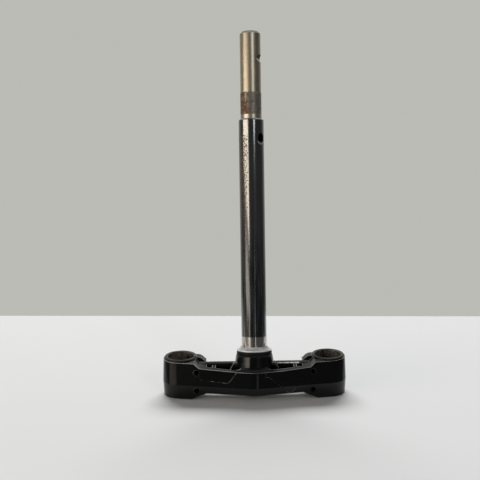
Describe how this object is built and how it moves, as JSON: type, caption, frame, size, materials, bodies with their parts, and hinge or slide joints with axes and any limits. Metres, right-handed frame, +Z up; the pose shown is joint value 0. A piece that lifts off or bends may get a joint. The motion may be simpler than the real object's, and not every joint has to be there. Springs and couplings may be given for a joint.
{
  "type": "motorcycle triple clamp",
  "caption": "Lower fork bracket of a motorcycle: a cast bridge with a split clamp at each end, and a long hollow steering stem pressed in, with its bearing race and dust seal.",
  "frame": {"origin": "midway between the two fork axes, on the plane of the clamp rings' lower faces, which it stands on", "axes": "+Z up along the fork axes, +Y towards the front of the machine, +X to the right as seen from behind"},
  "size_m": [0.2284, 0.1132, 0.4442],
  "materials": {
    "black_paint": "gloss",
    "stem_steel": "satin",
    "race_steel": "satin",
    "seal_rubber": "matte"
  },
  "bodies": {
    "root": {"fork_bracket": "black_paint", "steering_stem": "stem_steel", "lower_bearing_race": "race_steel", "dust_seal": "seal_rubber"}
  },
  "joints": []
}
